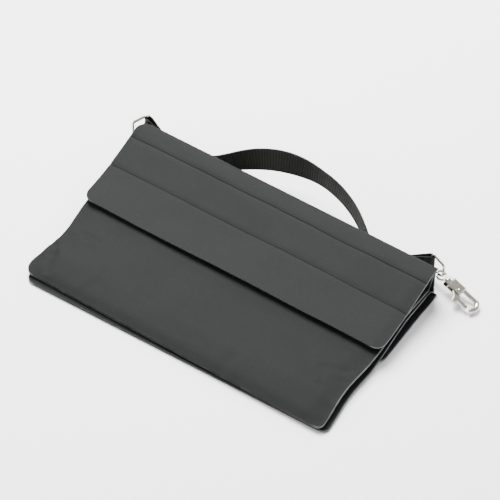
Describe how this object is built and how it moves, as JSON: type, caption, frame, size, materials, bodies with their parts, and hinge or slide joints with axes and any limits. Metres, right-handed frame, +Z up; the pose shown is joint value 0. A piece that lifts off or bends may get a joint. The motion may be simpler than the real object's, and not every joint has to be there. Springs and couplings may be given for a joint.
{
  "type": "double pouch saddle bag",
  "caption": "Flat canvas saddle bag: two flap pouches folded on a webbing spine, with a grab handle, wire end rings and a swivel snap hook.",
  "frame": {"origin": "on the underside of the lower flap, at the table's height, midway along the bag's width and 58 mm in front of the spine panel", "axes": "+X along the spine towards the ring with the snap hook, -Y from the spine towards the pouches' closed ends, +Z up"},
  "size_m": [0.4395, 0.2679, 0.0551],
  "materials": {
    "canvas": "coated canvas, dark grey, fine plain weave, soft sheen",
    "webbing": "25 mm woven polypropylene webbing, dark grey to black, ribbed",
    "hook_and_loop": "black hook-and-loop tape",
    "nickel": "bright nickel plate on wire and zinc casting",
    "spring_steel": "spring wire"
  },
  "bodies": {
    "spine": {"spine_panel": "canvas", "spine_strap": "webbing", "left_ring_tab": "webbing", "right_ring_tab": "webbing", "handle_left_patch": "webbing", "handle_right_patch": "webbing"},
    "upper_half": {"upper_inner_panel": "canvas", "upper_outer_panel": "canvas", "upper_loop_tape": "hook_and_loop"},
    "upper_cover": {"upper_flap": "canvas", "upper_hook_tape": "hook_and_loop"},
    "lower_half": {"lower_inner_panel": "canvas", "lower_outer_panel": "canvas", "lower_loop_tape": "hook_and_loop"},
    "lower_cover": {"lower_flap": "canvas", "lower_hook_tape": "hook_and_loop"},
    "grab_handle": {"handle_strap": "webbing"},
    "left_end_ring": {"left_ring": "nickel"},
    "right_end_ring": {"right_ring": "nickel"},
    "swivel_eye": {"snap_eye": "nickel"},
    "hook": {"snap_body": "nickel", "snap_gate_pin": "nickel", "snap_gate_spring": "spring_steel"},
    "gate": {"snap_gate": "nickel"}
  },
  "joints": [
    {"name": "upper_half_fold", "type": "hinge", "parent": "spine", "child": "upper_half", "pos_m": [0, 0.058, 0.0426], "axis": [-1, 0, 0], "range_deg": [0, 90]},
    {"name": "upper_flap_lift", "type": "hinge", "parent": "upper_half", "child": "upper_cover", "pos_m": [0, 0.058, 0.045], "axis": [-1, 0, 0], "range_deg": [0, 90]},
    {"name": "lower_half_fold", "type": "hinge", "parent": "spine", "child": "lower_half", "pos_m": [0, 0.058, 0.0022], "axis": [1, 0, 0], "range_deg": [0, 90]},
    {"name": "lower_flap_lift", "type": "hinge", "parent": "lower_half", "child": "lower_cover", "pos_m": [0, 0.058, 0.0008], "axis": [1, 0, 0], "range_deg": [0, 90]},
    {"name": "handle_swing", "type": "hinge", "parent": "spine", "child": "grab_handle", "pos_m": [0, 0.0623, 0.0245], "axis": [-1, 0, 0], "range_deg": [-30, 30]},
    {"name": "left_ring_swing", "type": "hinge", "parent": "spine", "child": "left_end_ring", "pos_m": [-0.188, 0.0644, 0.0345], "axis": [0, 0, -1], "range_deg": [0, 90]},
    {"name": "right_ring_swing", "type": "hinge", "parent": "spine", "child": "right_end_ring", "pos_m": [0.1729, 0.0772, 0.0245], "axis": [0, 0, 1], "range_deg": [-10, 30]},
    {"name": "snap_eye_swing", "type": "hinge", "parent": "right_end_ring", "child": "swivel_eye", "pos_m": [0.18949, 0.0735, 0.0245], "axis": [0, 0, 1], "range_deg": [-15, 30]},
    {"name": "snap_swivel", "type": "hinge", "parent": "swivel_eye", "child": "hook", "pos_m": [0.19573, 0.07048, 0.01676], "axis": [0.9507, -0.1221, -0.2852], "continuous": true},
    {"name": "snap_gate_open", "type": "hinge", "parent": "hook", "child": "gate", "pos_m": [0.20976, 0.06686, 0.01248], "axis": [0.2828, -0.0365, 0.9585], "range_deg": [0, 18], "stiffness_Nm_per_rad": 0.01, "springref_deg": -20.05}
  ]
}
